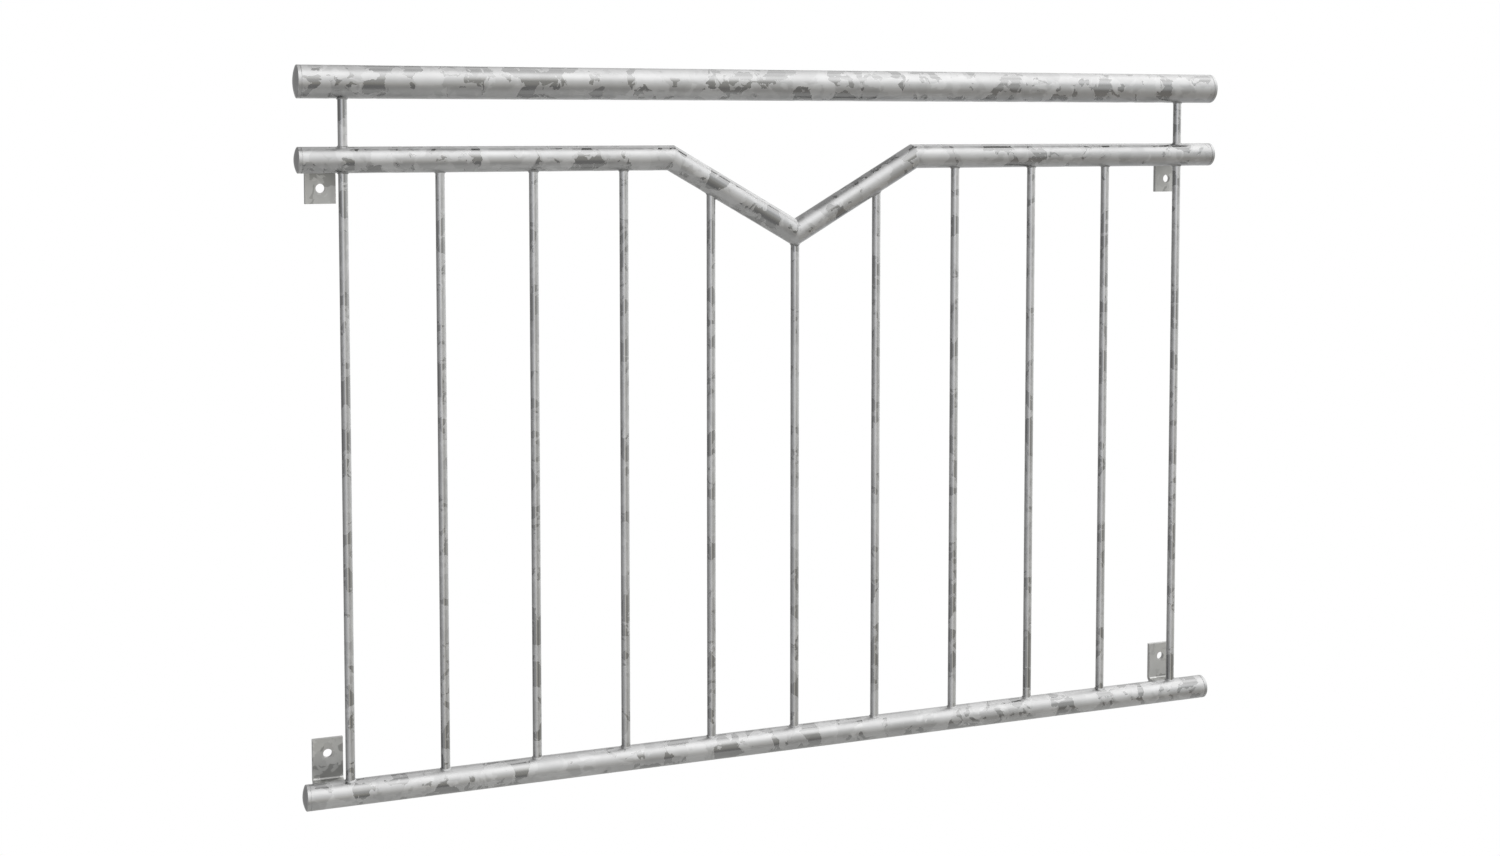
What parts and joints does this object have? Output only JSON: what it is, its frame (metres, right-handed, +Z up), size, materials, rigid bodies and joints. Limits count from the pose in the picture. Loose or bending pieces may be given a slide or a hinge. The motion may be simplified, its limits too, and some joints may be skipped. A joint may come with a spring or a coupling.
{
  "type": "juliet balcony",
  "caption": "Welded round-tube juliet balcony with vertical bars, an upper rail dipping in a V, a handrail above, domed end caps and bent wall brackets.",
  "frame": {"origin": "on the wall face of the lower left bracket, at its mid-width, 20 mm below the middle of its fixing hole", "axes": "+X along the rails from left to right as seen from outside, +Y towards the wall, +Z up"},
  "size_m": [1.362, 0.0832, 0.9523],
  "materials": {
    "galvanised_tube": "hot-dip galvanised, satin, with large zinc spangle",
    "galvanised_bar": "hot-dip galvanised, satin, with large zinc spangle",
    "galvanised_bracket": "hot-dip galvanised flat bar, matt, with large zinc spangle",
    "end_cap_steel": "galvanised pressed steel, turned face"
  },
  "bodies": {
    "root": {"handrail": "galvanised_tube", "upper_rail_left": "galvanised_tube", "upper_rail_slope_left": "galvanised_tube", "upper_rail_slope_right": "galvanised_tube", "upper_rail_right": "galvanised_tube", "lower_rail": "galvanised_tube", "handrail_cap_left": "end_cap_steel", "handrail_cap_right": "end_cap_steel", "upper_rail_cap_left": "end_cap_steel", "upper_rail_cap_right": "end_cap_steel", "lower_rail_cap_left": "end_cap_steel", "lower_rail_cap_right": "end_cap_steel", "bar_01": "galvanised_bar", "bar_02": "galvanised_bar", "bar_03": "galvanised_bar", "bar_04": "galvanised_bar", "bar_05": "galvanised_bar", "bar_06": "galvanised_bar", "bar_07": "galvanised_bar", "bar_08": "galvanised_bar", "bar_09": "galvanised_bar", "bar_10": "galvanised_bar", "bar_11": "galvanised_bar", "handrail_post_left": "galvanised_bar", "handrail_post_right": "galvanised_bar", "bracket_upper_left": "galvanised_bracket", "bracket_upper_right": "galvanised_bracket", "bracket_lower_left": "galvanised_bracket", "bracket_lower_right": "galvanised_bracket"}
  },
  "joints": []
}
